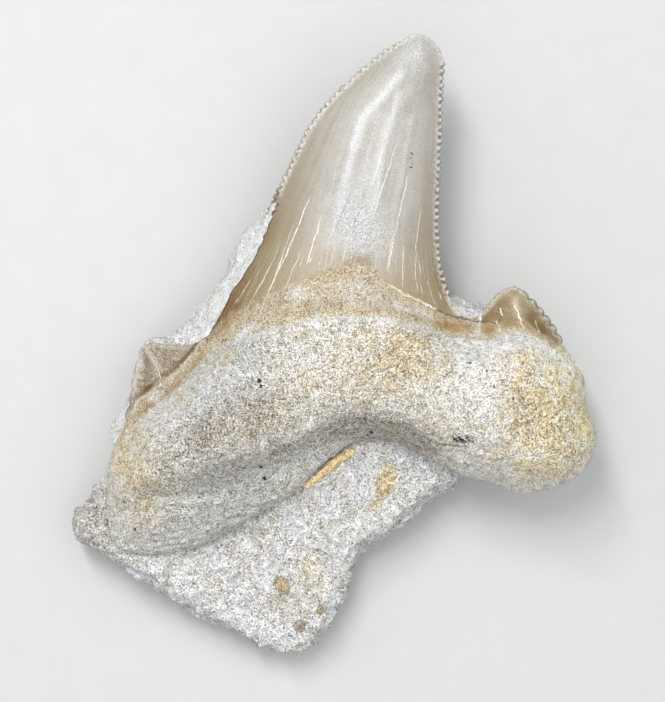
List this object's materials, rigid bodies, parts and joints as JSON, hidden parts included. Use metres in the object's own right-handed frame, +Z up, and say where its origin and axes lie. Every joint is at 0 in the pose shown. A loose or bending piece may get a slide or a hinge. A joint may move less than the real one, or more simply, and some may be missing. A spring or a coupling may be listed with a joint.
{
  "type": "fossil shark tooth",
  "caption": "Large serrated fossil shark tooth with side cusplets and a two-lobed root, lying on the slab of pale sandy matrix rock it was found in.",
  "frame": {"origin": "centre of the bounding box in plan, on the plane that the rock rests on", "axes": "+Y towards the crown's tip, +X towards the lobe that overhangs the rock, +Z up, away from the rock's flat underside"},
  "size_m": [0.0854, 0.101, 0.0288],
  "materials": {
    "tooth": "glossy grey-beige fossil enamel over a rough, porous, pale root",
    "matrix": "pale sandy phosphate rock, matt and crumbly",
    "bone_splinter": "orange fossil bone, satin",
    "ochre_chip": "ochre fossil chip, satin",
    "red_chip": "red-brown fossil chip, satin",
    "brown_chip": "brown fossil chip, satin"
  },
  "bodies": {
    "root": {"tooth": "tooth", "matrix": "matrix", "bone_splinter": "bone_splinter", "ochre_chip": "ochre_chip", "red_chip": "red_chip", "brown_chip": "brown_chip"}
  },
  "joints": []
}
